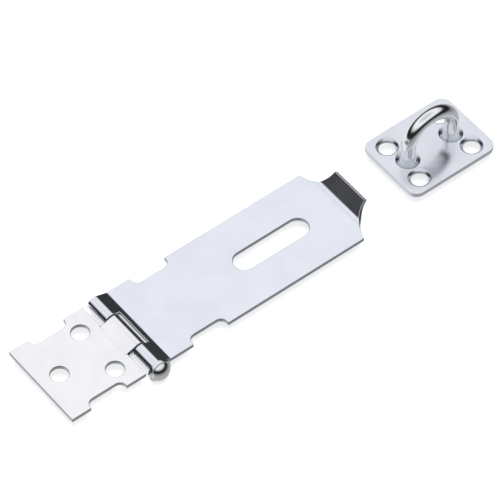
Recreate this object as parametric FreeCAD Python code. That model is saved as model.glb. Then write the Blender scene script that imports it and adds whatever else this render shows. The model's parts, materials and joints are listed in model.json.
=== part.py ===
import FreeCAD, Part
import math
import os

from BOPTools import SplitAPI

# Hasp and staple, 100 mm class: two pressed sheet leaves on a headed hinge pin,
# and a separate round-bar staple riveted into a countersunk plate.
# Frame: +X from the fixed leaf towards the staple, +Y across, +Z away from the
# mounting surface.  The origin lies on the fixed leaf's back face, midway
# between its two side-by-side screw holes.  All sizes are in millimetres.

V = FreeCAD.Vector

# sheet and overall width
SHEET = 1.2
WIDTH = 27.0
HALF = WIDTH / 2

# hinge
HINGE_X = 8.9            # pin axis, along the hasp
AXIS_Z = 0.4             # pin axis above the back faces
PIN_R = 1.0
PIN_FIT = 0.05           # radial running clearance of the pin
CURL_IN = PIN_R + PIN_FIT
CURL_OUT = CURL_IN + SHEET
RAMP = math.radians(21)  # slope from a leaf up to the top of its knuckle
RAMP_BEND = 1.4          # inside radius where a leaf starts to rise
CURL_END = math.radians(118)
MID_KNUCKLE = 11.2       # width of the fixed leaf's knuckle
KNUCKLE_GAP = 0.4        # side gap between neighbouring knuckles
FLAT_FROM = 6.0          # the leaves are flat beyond this distance from the axis

# pin head and tail
HEAD_R = 3.3             # collar of the head
HEAD_RIM = 1.1
HEAD_ROUND = 0.25        # rounding of the collar's outer edge
DOME_R = 2.95            # foot of the dome that stands on the collar
HEAD_DOME = 1.9
HEAD_GAP = 0.1
TAIL_CHAMFER = 0.25

# fixed leaf
LEAF_END = -18.0
LEAF_EDGE = 3.6          # pin axis to the leaf's free hinge-side edges
LEAF_HOLE_R = 2.5
PAIR_SPACING = 14.7
END_HOLE_X = -12.0
LEAF_NOTCH = (-12.0, -0.9, 2.3)   # from x, to x, depth

# hasp leaf
HASP_EDGE = 2.7          # pin axis to the cut edge beside the fixed leaf's knuckle
HASP_NOTCH = (20.4, 31.5, 2.6)
SLOT_X = 56.05
SLOT_LENGTH = 23.7
SLOT_WIDTH = 6.2
NOTCH_FILLET = 1.9

# turned-up tip
LIP_FROM = 77.1          # where the tip starts to bend
LIP_BEND = 2.5           # inside radius of the bend
LIP_ANGLE = math.radians(46)
LIP_FLAT = 4.65          # straight length beyond the bend
SCALLOP_R = 8.9          # concave cut at each tip corner, in the flat blank
SCALLOP_OUT = 1.5        # its centre, beyond the long edge
SCALLOP_AHEAD = 0.7      # its centre, beyond the tip's end

# staple
STAPLE_X = 109.2
PLATE_LENGTH = 28.5
PLATE_WIDTH = 22.5
PLATE_T = 1.4
PLATE_CORNER = 3.0
PLATE_HOLE_R = 2.3
PLATE_SINK_R = 3.1
PLATE_SPACING_X = 17.8
PLATE_SPACING_Y = 13.3
BAR_R = 2.0
LEG_SPACING = 14.7
ARCH_Z = 6.2             # centre of the half-round top of the loop
FOOT_SINK_R = 3.35
FOOT_FLOOR_R = 2.15
FOOT_FLOOR_Z = 0.55
RIVET_R = 1.5
RIVET_FIT = 0.02


def box(x0, x1, y0, y1, z0, z1):
    return Part.makeBox(x1 - x0, y1 - y0, z1 - z0, V(x0, y0, z0))


def line(a, b):
    return Part.LineSegment(a, b).toShape()


def arc(a, middle, b):
    return Part.Arc(a, middle, b).toShape()


def prism_y(edges, y0, y1):
    """Extrude a closed profile drawn in the plane y = 0 from y0 to y1."""
    face = Part.Face(Part.Wire(edges))
    face.translate(V(0, y0, 0))
    return face.extrude(V(0, y1 - y0, 0))


def polar(radius, angle):
    """Point of the hinge profile; the angle runs from +Z towards +X."""
    return V(radius * math.sin(angle), 0, radius * math.cos(angle))


def ramp_foot(offset, level, bend):
    """Where the ramp line, tangent to a circle of radius offset about the pin,
    turns into the level line through a bend of the given radius."""
    tangent = polar(offset, RAMP)
    run = (tangent.z - level) / math.sin(RAMP)
    corner = tangent + V(math.cos(RAMP), 0, -math.sin(RAMP)) * run
    cut = bend * math.tan(RAMP / 2)
    start = corner - V(math.cos(RAMP), 0, -math.sin(RAMP)) * cut
    end = corner + V(cut, 0, 0)
    centre = end + V(0, 0, bend)
    middle = centre + V(-math.sin(RAMP / 2), 0, -math.cos(RAMP / 2)) * bend
    return start, middle, end


def knuckle(y0, y1, towards):
    """One curled knuckle with its ramp and the strip of leaf behind it.
    The leaf lies on the +X side of the pin, or on the -X side if towards is -1."""
    top = SHEET - AXIS_Z
    bottom = -AXIS_Z
    over = ramp_foot(CURL_OUT, top, RAMP_BEND)
    under = ramp_foot(CURL_IN, bottom, RAMP_BEND + SHEET)
    half_turn = (RAMP + CURL_END) / 2 + math.pi
    edges = [
        line(V(FLAT_FROM, 0, bottom), V(FLAT_FROM, 0, top)),
        line(V(FLAT_FROM, 0, top), over[2]),
        arc(over[2], over[1], over[0]),
        line(over[0], polar(CURL_OUT, RAMP)),
        arc(polar(CURL_OUT, RAMP), polar(CURL_OUT, half_turn), polar(CURL_OUT, CURL_END)),
        line(polar(CURL_OUT, CURL_END), polar(CURL_IN, CURL_END)),
        arc(polar(CURL_IN, CURL_END), polar(CURL_IN, half_turn), polar(CURL_IN, RAMP)),
        line(polar(CURL_IN, RAMP), under[0]),
        arc(under[0], under[1], under[2]),
        line(under[2], V(FLAT_FROM, 0, bottom)),
    ]
    solid = prism_y(edges, y0, y1)
    if towards < 0:
        solid = solid.mirror(V(0, 0, 0), V(1, 0, 0))
    solid.translate(V(HINGE_X, 0, AXIS_Z))
    return solid


def edge_notch(start, end, depth, side):
    """Shallow cut in a long edge, with rounded inner corners."""
    inner = side * (HALF - depth)
    outer = side * (HALF + 2)
    low, high = min(inner, outer), max(inner, outer)
    tool = box(start, end, low, high, -1, SHEET + 1)
    corners = [e for e in tool.Edges if vertical_at(e, inner)]
    return tool.makeFillet(NOTCH_FILLET, corners)


def vertical_at(edge, y):
    a = edge.Vertexes[0].Point
    b = edge.Vertexes[-1].Point
    return abs(a.y - y) < 1e-6 and abs(b.y - y) < 1e-6 and abs(a.x - b.x) < 1e-6


def hinge_leaf():
    solid = box(LEAF_END, HINGE_X - FLAT_FROM, -HALF, HALF, 0, SHEET)
    for side in (-1, 1):
        low, high = sorted((side * MID_KNUCKLE / 2, side * HALF))
        solid = solid.fuse(box(HINGE_X - FLAT_FROM, HINGE_X - LEAF_EDGE, low, high, 0, SHEET))
    solid = solid.fuse(knuckle(-MID_KNUCKLE / 2, MID_KNUCKLE / 2, -1)).removeSplitter()
    for side in (-1, 1):
        solid = solid.cut(edge_notch(*LEAF_NOTCH, side))
        solid = solid.cut(screw_hole(0, side * PAIR_SPACING / 2))
    return solid.cut(screw_hole(END_HOLE_X, 0))


def screw_hole(x, y):
    return Part.makeCylinder(LEAF_HOLE_R, SHEET + 2, V(x, y, -1))


def on_blank(u, y, lift):
    """Place a point of the flat blank on the bent hasp: u runs along the blank's
    middle surface and lift is the distance above that surface."""
    middle_r = LIP_BEND + SHEET / 2
    bend_length = middle_r * LIP_ANGLE
    turn = min(max((u - LIP_FROM) / middle_r, 0), LIP_ANGLE)
    radius = middle_r - lift
    x = LIP_FROM + radius * math.sin(turn)
    z = LIP_BEND + SHEET - radius * math.cos(turn)
    before = min(u - LIP_FROM, 0)
    after = max(u - LIP_FROM - bend_length, 0)
    return V(x + before + after * math.cos(turn), y, z + after * math.sin(turn))


def lip_profile():
    """Closed side profile of the flat end of the hasp and its turned-up lip."""
    half = SHEET / 2
    bend_length = (LIP_BEND + half) * LIP_ANGLE
    start = LIP_FROM - 8
    bend = LIP_FROM + bend_length
    end = bend + LIP_FLAT
    middle = LIP_FROM + bend_length / 2
    top = [on_blank(u, 0, half) for u in (start, LIP_FROM, middle, bend, end)]
    low = [on_blank(u, 0, -half) for u in (start, LIP_FROM, middle, bend, end)]
    return [
        line(top[0], top[1]),
        arc(top[1], top[2], top[3]),
        line(top[3], top[4]),
        line(top[4], low[4]),
        line(low[4], low[3]),
        arc(low[3], low[2], low[1]),
        line(low[1], low[0]),
        line(low[0], top[0]),
    ]


def scallop_wall(side):
    """Wall of the round corner cut, square to the bent sheet everywhere."""
    blank_end = LIP_FROM + (LIP_BEND + SHEET / 2) * LIP_ANGLE + LIP_FLAT
    rails = []
    for lift in (SHEET, -SHEET):
        points = []
        for degrees in range(168, 289, 4):
            a = math.radians(degrees)
            u = blank_end + SCALLOP_AHEAD + SCALLOP_R * math.cos(a)
            y = HALF + SCALLOP_OUT + SCALLOP_R * math.sin(a)
            points.append(on_blank(u, side * y, lift))
        curve = Part.BSplineCurve()
        curve.interpolate(points)
        rails.append(curve.toShape())
    return Part.makeRuledSurface(rails[0], rails[1])


def hasp_leaf():
    tongue = prism_y(lip_profile(), -HALF, HALF)
    for side in (-1, 1):
        pieces = SplitAPI.slice(tongue, [scallop_wall(side)], "Split").Solids
        tongue = max(pieces, key=lambda piece: piece.Volume)
    solid = box(HINGE_X + FLAT_FROM, LIP_FROM - 8, -HALF, HALF, 0, SHEET).fuse(tongue)
    gap_half = MID_KNUCKLE / 2 + KNUCKLE_GAP
    knuckle_room = box(0, HINGE_X + HASP_EDGE, -gap_half, gap_half, -5, 5)
    solid = solid.fuse(knuckle(-HALF, HALF, 1).cut(knuckle_room)).removeSplitter()
    for side in (-1, 1):
        solid = solid.cut(edge_notch(*HASP_NOTCH, side))
    return solid.cut(slot_tool())


def slot_tool():
    r = SLOT_WIDTH / 2
    reach = SLOT_LENGTH / 2 - r
    tool = box(SLOT_X - reach, SLOT_X + reach, -r, r, -1, SHEET + 1)
    for x in (SLOT_X - reach, SLOT_X + reach):
        tool = tool.fuse(Part.makeCylinder(r, SHEET + 2, V(x, 0, -1)))
    return tool.removeSplitter()


def hinge_pin():
    """Pin turned about its own axis: a dome on a collar at the -Y end, chamfered tail."""
    head_y = -HALF - HEAD_GAP
    rim_y = head_y - HEAD_RIM
    tail_y = HALF
    dome_r = (DOME_R ** 2 + HEAD_DOME ** 2) / (2 * HEAD_DOME)
    half_angle = math.asin(DOME_R / dome_r) / 2
    dome_y = rim_y - HEAD_DOME + dome_r
    crown = V(0, rim_y - HEAD_DOME, 0)
    dome_foot = V(DOME_R, rim_y, 0)
    face_end = V(HEAD_R - HEAD_ROUND, rim_y, 0)
    rim_start = V(HEAD_R, rim_y + HEAD_ROUND, 0)
    turn = HEAD_ROUND * math.sqrt(0.5)
    on_round = V(HEAD_R - HEAD_ROUND + turn, rim_y + HEAD_ROUND - turn, 0)
    between = V(dome_r * math.sin(half_angle), dome_y - dome_r * math.cos(half_angle), 0)
    points = [
        rim_start,
        V(HEAD_R, head_y, 0),
        V(PIN_R, head_y, 0),
        V(PIN_R, tail_y - TAIL_CHAMFER, 0),
        V(PIN_R - TAIL_CHAMFER, tail_y, 0),
        V(0, tail_y, 0),
        crown,
    ]
    edges = [line(a, b) for a, b in zip(points[:-1], points[1:])]
    edges.append(arc(crown, between, dome_foot))
    edges.append(line(dome_foot, face_end))
    edges.append(arc(face_end, on_round, rim_start))
    face = Part.Face(Part.Wire(edges))
    solid = face.revolve(V(0, 0, 0), V(0, 1, 0), 360)
    solid.translate(V(HINGE_X, 0, AXIS_Z))
    return solid


def rounded_plate():
    solid = box(
        STAPLE_X - PLATE_LENGTH / 2, STAPLE_X + PLATE_LENGTH / 2,
        -PLATE_WIDTH / 2, PLATE_WIDTH / 2, 0, PLATE_T)
    upright = [e for e in solid.Edges if abs(e.tangentAt(e.FirstParameter).z) > 0.9]
    return solid.makeFillet(PLATE_CORNER, upright)


def sunk_hole(x, y, hole_r, sink_r, sink_z):
    """Through hole with a cone that opens from sink_z up to the plate's top."""
    cone = Part.makeCone(hole_r, sink_r, PLATE_T - sink_z, V(x, y, sink_z))
    above = Part.makeCylinder(sink_r, 1, V(x, y, PLATE_T))
    return Part.makeCylinder(hole_r, PLATE_T + 1, V(x, y, -1)).fuse([cone, above])


def foot_hole(x):
    recess = Part.makeCone(FOOT_FLOOR_R, FOOT_SINK_R, PLATE_T - FOOT_FLOOR_Z, V(x, 0, FOOT_FLOOR_Z))
    above = Part.makeCylinder(FOOT_SINK_R, 1, V(x, 0, PLATE_T))
    return Part.makeCylinder(RIVET_R, PLATE_T + 1, V(x, 0, -1)).fuse([recess, above])


def staple_plate():
    solid = rounded_plate()
    sink_z = PLATE_T - (PLATE_SINK_R - PLATE_HOLE_R)
    for sx in (-0.5, 0.5):
        solid = solid.cut(foot_hole(STAPLE_X + sx * LEG_SPACING))
        for sy in (-0.5, 0.5):
            x = STAPLE_X + sx * PLATE_SPACING_X
            y = sy * PLATE_SPACING_Y
            solid = solid.cut(sunk_hole(x, y, PLATE_HOLE_R, PLATE_SINK_R, sink_z))
    return solid


def staple_loop():
    """Round bar bent to an upside-down U, each foot turned down to a rivet."""
    r = LEG_SPACING / 2
    path = Part.Wire([
        line(V(STAPLE_X - r, 0, FOOT_FLOOR_Z), V(STAPLE_X - r, 0, ARCH_Z)),
        arc(V(STAPLE_X - r, 0, ARCH_Z), V(STAPLE_X, 0, ARCH_Z + r), V(STAPLE_X + r, 0, ARCH_Z)),
        line(V(STAPLE_X + r, 0, ARCH_Z), V(STAPLE_X + r, 0, FOOT_FLOOR_Z)),
    ])
    section = Part.Wire([Part.makeCircle(BAR_R, V(STAPLE_X - r, 0, FOOT_FLOOR_Z), V(0, 0, 1))])
    solid = path.makePipeShell([section], True, False)
    for x in (STAPLE_X - r, STAPLE_X + r):
        solid = solid.fuse(Part.makeCylinder(RIVET_R - RIVET_FIT, FOOT_FLOOR_Z, V(x, 0, 0)))
    return solid.removeSplitter()


NODES = {
    "hinge_leaf": hinge_leaf,
    "hinge_pin": hinge_pin,
    "hasp_leaf": hasp_leaf,
    "staple_plate": staple_plate,
    "staple_loop": staple_loop,
}


def main():
    os.makedirs("parts", exist_ok=True)
    for name, build in NODES.items():
        shape = build()
        if len(shape.Solids) != 1 or not shape.isValid():
            raise RuntimeError(name + " is not one valid solid")
        shape.Solids[0].exportStep("parts/" + name + ".step")
        size = shape.BoundBox
        print(name, "%.1f mm3" % shape.Volume, "x %.2f..%.2f" % (size.XMin, size.XMax),
              "y %.2f..%.2f" % (size.YMin, size.YMax), "z %.2f..%.2f" % (size.ZMin, size.ZMax))


main()
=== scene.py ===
import json
import math

import bpy
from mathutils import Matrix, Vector

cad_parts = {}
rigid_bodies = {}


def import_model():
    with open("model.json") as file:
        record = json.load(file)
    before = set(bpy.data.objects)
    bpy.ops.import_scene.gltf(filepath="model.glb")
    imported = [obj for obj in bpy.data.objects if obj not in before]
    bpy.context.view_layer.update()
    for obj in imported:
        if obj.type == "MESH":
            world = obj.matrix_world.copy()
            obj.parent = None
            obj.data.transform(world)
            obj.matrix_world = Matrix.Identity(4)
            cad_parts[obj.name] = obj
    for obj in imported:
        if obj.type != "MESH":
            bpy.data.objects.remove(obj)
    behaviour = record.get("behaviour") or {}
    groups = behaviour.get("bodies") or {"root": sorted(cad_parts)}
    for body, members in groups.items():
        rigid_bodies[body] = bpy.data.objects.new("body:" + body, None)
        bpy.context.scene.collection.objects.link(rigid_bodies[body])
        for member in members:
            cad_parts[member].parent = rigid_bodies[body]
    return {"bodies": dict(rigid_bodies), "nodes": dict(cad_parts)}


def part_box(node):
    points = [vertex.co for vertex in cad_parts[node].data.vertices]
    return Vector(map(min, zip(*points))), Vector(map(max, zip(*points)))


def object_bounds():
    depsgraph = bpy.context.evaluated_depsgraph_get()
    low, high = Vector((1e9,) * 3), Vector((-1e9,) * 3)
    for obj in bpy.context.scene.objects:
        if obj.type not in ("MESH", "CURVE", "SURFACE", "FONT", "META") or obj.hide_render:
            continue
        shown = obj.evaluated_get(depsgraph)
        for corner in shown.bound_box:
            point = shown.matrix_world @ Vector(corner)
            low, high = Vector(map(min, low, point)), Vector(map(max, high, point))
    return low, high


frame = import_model()

# Hasp and staple in bright zinc plate.  Everything is in metres, in the frame of
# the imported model.  The materials work in millimetres of object space, so that
# they turn with the hasp.

MM = 0.001

# what the scene held before the frame was loaded
for thing in list(bpy.context.scene.objects):
    if thing not in frame["nodes"].values() and thing not in frame["bodies"].values():
        bpy.data.objects.remove(thing)

cad_low, cad_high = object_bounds()
pin_low, pin_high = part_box("hinge_pin")
hasp_low, hasp_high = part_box("hasp_leaf")

# the shapes that the cut edges' darker colour (partly painted shade) and the shade painted on
# broken corners follow, in millimetres; the barrel is what reaches furthest back on the hasp
PIN_X = (pin_low.x + pin_high.x) / 2 / MM
BARREL_R = PIN_X - hasp_low.x / MM
TIP_START = 77.1          # where the hasp's tip turns up
TIP_ANGLE = math.radians(46)

# parts of a unit normal, each from where the thing starts to where it is whole
UPRIGHT = (0.35, 0.12)    # of Z, on a cut edge
SIDEWAYS = (0.6, 0.85)    # of Y, on the ends of the barrel
LEANING = (0.90, 0.78)    # of the sheet's own direction, on a broken corner painted with shade

# the width of the broken corners of each piece, in millimetres
EDGE_BREAK = {"hinge_leaf": 0.16, "hasp_leaf": 0.16, "hinge_pin": 0.06, "staple_plate": 0.22,
              "staple_loop": 0.06}
LEAVES = ("hinge_leaf", "hasp_leaf")

# what a tint is multiplied by in each channel
PALE = (1.012, 1.012, 1.012)
DULL = (0.968, 0.972, 0.98)
# cut edges: partly the duller sheared steel, partly painted shade
CUT_EDGE_AND_SHADE = (0.52, 0.57, 0.55)
# painted shade: dark lines on the broken corners
PAINTED_CORNER_SHADE = (0.15, 0.15, 0.15)

# how tightly the grain is packed along X, Y and Z: on sheet it runs along X
SHEET_GRAIN = (0.4, 9, 4)
PIN_GRAIN = (6, 1, 6)
BAR_GRAIN = (2, 2, 2)

# the most that each of these adds to the roughness
ROUGH_CLOUD = 0.03
ROUGH_FLECK = 0.05
ROUGH_SPECK = 0.12
ROUGH_CUT = 0.22

# heights of the relief, in millimetres
GRAIN_DEPTH = 0.0012
PUNCH_DEPTH = 0.03

# the studio, in metres except the floor's gap; its brightness goes by the sine of
# the height above the horizon
LEVELS = ((-1.0, 0.52), (-0.45, 0.45), (-0.08, 0.20), (0.02, 0.02), (0.35, 0.013), (0.42, 0.09),
          (0.54, 0.62), (0.66, 0.95), (0.82, 1.0), (0.94, 0.74), (1.0, 0.66))
CARD_TOWARDS = (-0.64, 0.77, 0.0)
CARD_COLOUR = (0.93, 0.93, 0.94, 1)
FLOOR_SIZE = 6.0
FLOOR_GAP = 0.02          # millimetres below the object
FLOOR_GREY = 0.55
FLOOR_GLOW = 0.62
SOFTBOX_SIZE = 0.9
SOFTBOX_HEIGHT = 1.3
SOFTBOX_WATTS = 14.0

AZIMUTH = math.radians(-38.17)
ELEVATION = math.radians(51.5)
AIM = Vector((50.46, 1.72, 1.2)) * MM
DISTANCE = 1.0682
SENSOR = 36.0
FOCAL_LENGTH = 297.9


# ---------------------------------------------------------------- node helpers

def add(tree, kind, inputs=None, **settings):
    """Add a node.  Inputs are values, or outputs of other nodes to link."""
    node = tree.nodes.new(kind)
    for name, value in settings.items():
        setattr(node, name, value)
    for key, value in (inputs or {}).items():
        if isinstance(value, bpy.types.NodeSocket):
            tree.links.new(value, node.inputs[key])
        else:
            node.inputs[key].default_value = value
    return node


def maths(tree, operation, a, b=0.0, clamp=False):
    return add(tree, "ShaderNodeMath", {0: a, 1: b}, operation=operation, use_clamp=clamp).outputs[0]


def absolute(tree, value):
    return maths(tree, "ABSOLUTE", value)


def dot(tree, vector, fixed):
    node = add(tree, "ShaderNodeVectorMath", {0: vector, 1: fixed}, operation="DOT_PRODUCT")
    return node.outputs["Value"]


def smooth(tree, value, start, end):
    """0 up to start and 1 from end on, with soft ends.  It falls where end is the smaller."""
    node = add(tree, "ShaderNodeMapRange", {"Value": value, "From Min": start, "From Max": end},
               interpolation_type="SMOOTHSTEP")
    return node.outputs["Result"]


def noise(tree, vector, scale, detail=2.0, rough=0.5, stretch=(1, 1, 1), shift=0.0):
    mapped = add(tree, "ShaderNodeMapping",
                 {"Vector": vector, "Scale": stretch, "Location": (shift, shift * 0.7, shift * 1.3)})
    node = add(tree, "ShaderNodeTexNoise",
               {"Vector": mapped.outputs[0], "Scale": scale, "Detail": detail, "Roughness": rough})
    return node.outputs["Fac"]


def mix(tree, factor, a, b):
    """Colour a where the factor is 0, and b where it is 1."""
    node = add(tree, "ShaderNodeMix", data_type="RGBA")
    for socket, value in ((node.inputs[0], factor), (node.inputs[6], a), (node.inputs[7], b)):
        if isinstance(value, bpy.types.NodeSocket):
            tree.links.new(value, socket)
        else:
            socket.default_value = value
    return node.outputs[2]


def relief(tree, height, strength, depth, under=None):
    """A bump of this depth in millimetres, on top of the one under it."""
    inputs = {"Height": height, "Strength": strength, "Distance": depth * MM}
    if under is not None:
        inputs["Normal"] = under
    return add(tree, "ShaderNodeBump", inputs).outputs[0]


# ------------------------------------------------------------------- materials

def shade(tint, factors):
    return tuple(min(1.0, c * factor) for c, factor in zip(tint, factors)) + (1,)


def pin_specks(tree, mm):
    cells = add(tree, "ShaderNodeTexVoronoi", {"Vector": mm, "Scale": 0.75, "Randomness": 1.0})
    return maths(tree, "SUBTRACT", 1.0, smooth(tree, cells.outputs["Distance"], 0.035, 0.09))


def away_from_barrel(tree, normal, where):
    """0 round the curled barrel, 1 on its ends and on the rest of the sheet."""
    from_pin = absolute(tree, maths(tree, "SUBTRACT", where.outputs["X"], PIN_X))
    barrel_end = smooth(tree, absolute(tree, normal.outputs["Y"]), *SIDEWAYS)
    return maths(tree, "MAXIMUM", smooth(tree, from_pin, BARREL_R + 0.05, BARREL_R + 0.3), barrel_end)


def corner_shade_mask(tree, facing, normal, where, has_tip):
    """1 where the surface leans away from the sheet's own faces, where shade is painted.  On the
    turned-up tip those faces lean too, so there it is measured from them."""
    level = absolute(tree, normal.outputs["Z"])
    if has_tip:
        tip_face = (-math.sin(TIP_ANGLE), 0, math.cos(TIP_ANGLE))
        on_tip = smooth(tree, where.outputs["X"], TIP_START - 0.6, TIP_START)
        with_tip = maths(tree, "MULTIPLY", absolute(tree, dot(tree, facing, tip_face)), on_tip)
        level = maths(tree, "MAXIMUM", level, with_tip)
    return smooth(tree, level, *LEANING)


def plated(name, tint, rough, grain, wave, seed, sheared_and_shaded=0.0, paints_corner_shade=False, has_tip=False):
    """Bright zinc plate: slow waviness, grain from the rolling mill, faint clouding and pin
    specks.  The cut-edge argument says how much darker and rougher the cut edges of sheet
    are, where the punch leaves fine upright lines; the darker colour there is partly the
    duller sheared steel and partly painted shade.  The corner argument paints shade as dark
    lines on the broken corners beside them, and has_tip is for the leaf whose end is turned up."""
    material = bpy.data.materials.new(name)
    material.use_nodes = True
    tree = material.node_tree
    tree.nodes.clear()
    place = add(tree, "ShaderNodeTexCoord")
    facing = place.outputs["Normal"]
    to_mm = (1 / MM, 1 / MM, 1 / MM)
    mm = add(tree, "ShaderNodeMapping", {"Vector": place.outputs["Object"], "Scale": to_mm}).outputs[0]

    cloud = noise(tree, mm, 0.11, 3, 0.55, shift=seed)
    fleck = noise(tree, mm, 2.6, 4, 0.6, shift=seed + 9)
    lines = noise(tree, mm, 1.0, 3, 0.6, stretch=grain, shift=seed + 3)
    dents = noise(tree, mm, 0.16, 1, 0.4, shift=seed + 21)
    upright_lines = noise(tree, mm, 1.0, 3, 0.6, stretch=(5.5, 5.5, 0.5), shift=seed + 5)
    speck = pin_specks(tree, mm)

    normal = add(tree, "ShaderNodeSeparateXYZ", {0: facing})
    where = add(tree, "ShaderNodeSeparateXYZ", {0: mm})
    upright = smooth(tree, absolute(tree, normal.outputs["Z"]), *UPRIGHT)
    off_barrel = away_from_barrel(tree, normal, where)
    cut = maths(tree, "MULTIPLY", maths(tree, "MULTIPLY", upright, off_barrel), sheared_and_shaded)

    colour = mix(tree, smooth(tree, cloud, 0.30, 0.72), shade(tint, PALE), shade(tint, DULL))
    colour = mix(tree, maths(tree, "MULTIPLY", speck, 0.25), colour, shade(tint, DULL))
    # cut edges darker: partly the duller sheared steel, partly painted shade
    colour = mix(tree, cut, colour, shade(tint, CUT_EDGE_AND_SHADE))
    # painted shade: dark lines along the broken corners
    if paints_corner_shade:
        shade_lines = corner_shade_mask(tree, facing, normal, where, has_tip)
        shade_lines = maths(tree, "MULTIPLY", shade_lines, off_barrel)
        shade_lines = maths(tree, "SUBTRACT", shade_lines, upright, clamp=True)
        colour = mix(tree, shade_lines, colour, shade(tint, PAINTED_CORNER_SHADE))

    roughness = rough
    for mask, added in ((smooth(tree, cloud, 0.35, 0.7), ROUGH_CLOUD), (fleck, ROUGH_FLECK),
                        (speck, ROUGH_SPECK), (cut, ROUGH_CUT)):
        roughness = maths(tree, "ADD", roughness, maths(tree, "MULTIPLY", mask, added))

    bumps = relief(tree, dents, 1.0, wave)
    bumps = relief(tree, lines, 0.5, GRAIN_DEPTH, bumps)
    bumps = relief(tree, maths(tree, "MULTIPLY", upright_lines, cut), 0.8, PUNCH_DEPTH, bumps)
    shader = add(tree, "ShaderNodeBsdfPrincipled",
                 {"Base Color": colour, "Metallic": 1.0, "Roughness": roughness, "Normal": bumps})
    add(tree, "ShaderNodeOutputMaterial", {"Surface": shader.outputs[0]})
    return material


MATERIALS = {
    "hinge_leaf": plated("zinc_fixed_leaf", (0.905, 0.905, 0.935), rough=0.10, grain=SHEET_GRAIN,
                         wave=0.010, seed=0.0, sheared_and_shaded=1.0, paints_corner_shade=True),
    "hasp_leaf": plated("zinc_hasp", (0.80, 0.825, 0.895), rough=0.10, grain=SHEET_GRAIN,
                        wave=0.010, seed=14.0, sheared_and_shaded=1.0, paints_corner_shade=True, has_tip=True),
    "hinge_pin": plated("zinc_pin", (0.80, 0.83, 0.82), rough=0.11, grain=PIN_GRAIN,
                        wave=0.006, seed=31.0),
    "staple_plate": plated("zinc_plate", (0.765, 0.79, 0.85), rough=0.16, grain=SHEET_GRAIN,
                           wave=0.010, seed=47.0, sheared_and_shaded=0.35),
    "staple_loop": plated("zinc_bar", (0.86, 0.87, 0.885), rough=0.10, grain=BAR_GRAIN,
                          wave=0.008, seed=63.0),
}


# ----------------------------------------------------------------------- pieces

def break_edges(piece, width, clamp):
    """Join the triangles of each flat into one face, then break the sharp corners."""
    weld = piece.modifiers.new("weld", "WELD")
    weld.merge_threshold = 1e-6
    merge = piece.modifiers.new("one_face_per_flat", "DECIMATE")
    merge.decimate_type = "DISSOLVE"
    merge.angle_limit = math.radians(0.6)
    bevel = piece.modifiers.new("edge_break", "BEVEL")
    bevel.width = width * MM
    bevel.segments = 3
    bevel.limit_method = "ANGLE"
    bevel.angle_limit = math.radians(32)
    bevel.use_clamp_overlap = clamp
    normals = piece.modifiers.new("flat_faces_flat", "WEIGHTED_NORMAL")
    normals.mode = "FACE_AREA_WITH_ANGLE"
    normals.weight = 50
    normals.keep_sharp = False


for node, piece in frame["nodes"].items():
    for slot in piece.material_slots:
        slot.material = MATERIALS[node]
    # clamped, the leaves' corners, which carry the painted shade, come out too narrow to show;
    # unclamped, the staple plate tears
    break_edges(piece, EDGE_BREAK[node], clamp=node not in LEAVES)


# ----------------------------------------------------------------------- studio

def floor_plane(size, level):
    """Pale floor with a glow of its own, so that shadows on it stay faint.  Mirror
    reflections skip it and see the lower half of the studio instead."""
    mesh = bpy.data.meshes.new("floor")
    half = size / 2
    corners = [(-half, -half, level), (half, -half, level), (half, half, level), (-half, half, level)]
    mesh.from_pydata(corners, [], [(0, 1, 2, 3)])
    floor = bpy.data.objects.new("floor", mesh)
    bpy.context.scene.collection.objects.link(floor)
    material = bpy.data.materials.new("pale_floor")
    material.use_nodes = True
    shader = material.node_tree.nodes["Principled BSDF"]
    shader.inputs["Base Color"].default_value = (FLOOR_GREY, FLOOR_GREY, FLOOR_GREY, 1)
    shader.inputs["Roughness"].default_value = 0.9
    shader.inputs["Emission Color"].default_value = (1.0, 1.0, 1.0, 1)
    shader.inputs["Emission Strength"].default_value = FLOOR_GLOW
    mesh.materials.append(material)
    floor.visible_glossy = False


def height_ramp(sky, sine):
    """The studio's grey at each height, from straight down to straight up."""
    share = add(sky, "ShaderNodeMath", {0: sine, 1: 0.5, 2: 0.5}, operation="MULTIPLY_ADD")
    ramp = add(sky, "ShaderNodeValToRGB", {0: share.outputs[0]})
    stops = ramp.color_ramp.elements
    while len(stops) < len(LEVELS):
        stops.new(0.5)
    for stop, (level_sine, level) in zip(stops, LEVELS):
        stop.position = level_sine / 2 + 0.5
        stop.color = (level, level, level * 1.01, 1)
    return ramp.outputs["Color"]


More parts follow.
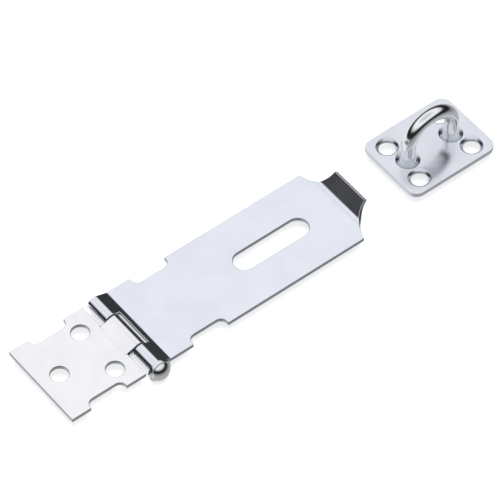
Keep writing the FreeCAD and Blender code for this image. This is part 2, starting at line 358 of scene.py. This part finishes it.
def studio_world():
    """What the plate mirrors: grey underneath, a dark band just above the horizon,
    a bright room above that, and a pale card low down on one side."""
    world = bpy.data.worlds.new("studio")
    world.use_nodes = True
    bpy.context.scene.world = world
    sky = world.node_tree
    sky.nodes.clear()
    direction = add(sky, "ShaderNodeTexCoord").outputs["Generated"]
    sine = add(sky, "ShaderNodeSeparateXYZ", {0: direction}).outputs["Z"]
    on_one_side = smooth(sky, dot(sky, direction, CARD_TOWARDS), 0.1, 0.55)
    below_horizon = smooth(sky, sine, 0.02, -0.06)
    not_straight_down = smooth(sky, sine, -0.97, -0.86)
    card = maths(sky, "MULTIPLY", maths(sky, "MULTIPLY", on_one_side, below_horizon), not_straight_down)
    room = mix(sky, card, height_ramp(sky, sine), CARD_COLOUR)
    background = add(sky, "ShaderNodeBackground", {"Color": room, "Strength": 1.0})
    add(sky, "ShaderNodeOutputWorld", {"Surface": background.outputs[0]})


def softbox_over(middle):
    softbox = bpy.data.lights.new("softbox", "AREA")
    softbox.shape = "SQUARE"
    softbox.size = SOFTBOX_SIZE
    softbox.energy = SOFTBOX_WATTS
    lamp = bpy.data.objects.new("softbox", softbox)
    lamp.location = middle + Vector((0, 0, SOFTBOX_HEIGHT))
    lamp.visible_glossy = False     # flat faces seen from above would mirror it as plain white
    bpy.context.scene.collection.objects.link(lamp)


floor_plane(FLOOR_SIZE, cad_low.z - FLOOR_GAP * MM)
studio_world()
softbox_over((cad_low + cad_high) / 2)


# ----------------------------------------------------------------------- camera

def set_camera():
    back = Vector((math.sin(AZIMUTH) * math.cos(ELEVATION), -math.cos(AZIMUTH) * math.cos(ELEVATION),
                   math.sin(ELEVATION)))
    lens = bpy.data.cameras.new("camera")
    lens.sensor_width = SENSOR
    lens.lens = FOCAL_LENGTH
    lens.clip_start = 0.05
    lens.clip_end = 20.0
    camera = bpy.data.objects.new("camera", lens)
    camera.location = AIM + back * DISTANCE
    camera.rotation_mode = "QUATERNION"
    camera.rotation_quaternion = (-back).to_track_quat("-Z", "Y")
    bpy.context.scene.collection.objects.link(camera)
    bpy.context.scene.camera = camera


set_camera()
bpy.context.scene.view_settings.view_transform = "Standard"
